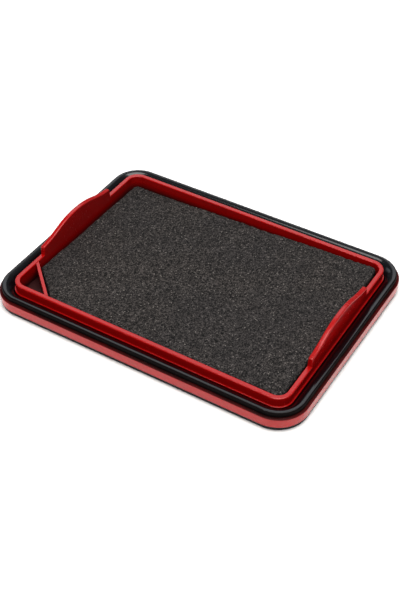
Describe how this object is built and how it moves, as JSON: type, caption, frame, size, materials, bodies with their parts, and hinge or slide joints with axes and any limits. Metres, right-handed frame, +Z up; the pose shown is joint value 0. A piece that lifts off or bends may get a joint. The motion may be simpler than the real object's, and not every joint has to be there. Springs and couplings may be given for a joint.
{
  "type": "ink pad",
  "caption": "Flat foam ink pad: red shell, black dished rim frame, and a lift-out red tray with arched end grips, a refill well, an ink felt and a foam pad.",
  "frame": {"origin": "middle of the footprint, on the surface that the pad stands on", "axes": "+X along the long side, from the end with the refill well to the other end; +Y across, away from the refill well; +Z up"},
  "size_m": [0.135, 0.1, 0.018],
  "materials": {
    "red_shell": "glossy moulded red",
    "black_plate": "fine spark-eroded texture",
    "black_frame": "glossy moulded black",
    "red_tray": "semi-gloss moulded red",
    "felt": "pressed wool felt, inked",
    "foam": "open-cell foam, dark grey",
    "foot_rubber": "moulded rubber",
    "screw_steel": "zinc-plated"
  },
  "bodies": {
    "base": {"base_shell": "red_shell", "base_plate": "black_plate", "rim_frame": "black_frame", "foot_front_left": "foot_rubber", "foot_front_right": "foot_rubber", "foot_rear_left": "foot_rubber", "foot_rear_right": "foot_rubber", "base_screws": "screw_steel"},
    "tray": {"pad_tray": "red_tray", "ink_felt": "felt"},
    "pad": {"foam_pad": "foam"}
  },
  "joints": [
    {"name": "tray_lift", "type": "slide", "parent": "base", "child": "tray", "axis": [0, 0, 1], "range_m": [0, 0.03]},
    {"name": "pad_lift", "type": "slide", "parent": "tray", "child": "pad", "axis": [0, 0, 1], "range_m": [0, 0.025]}
  ]
}
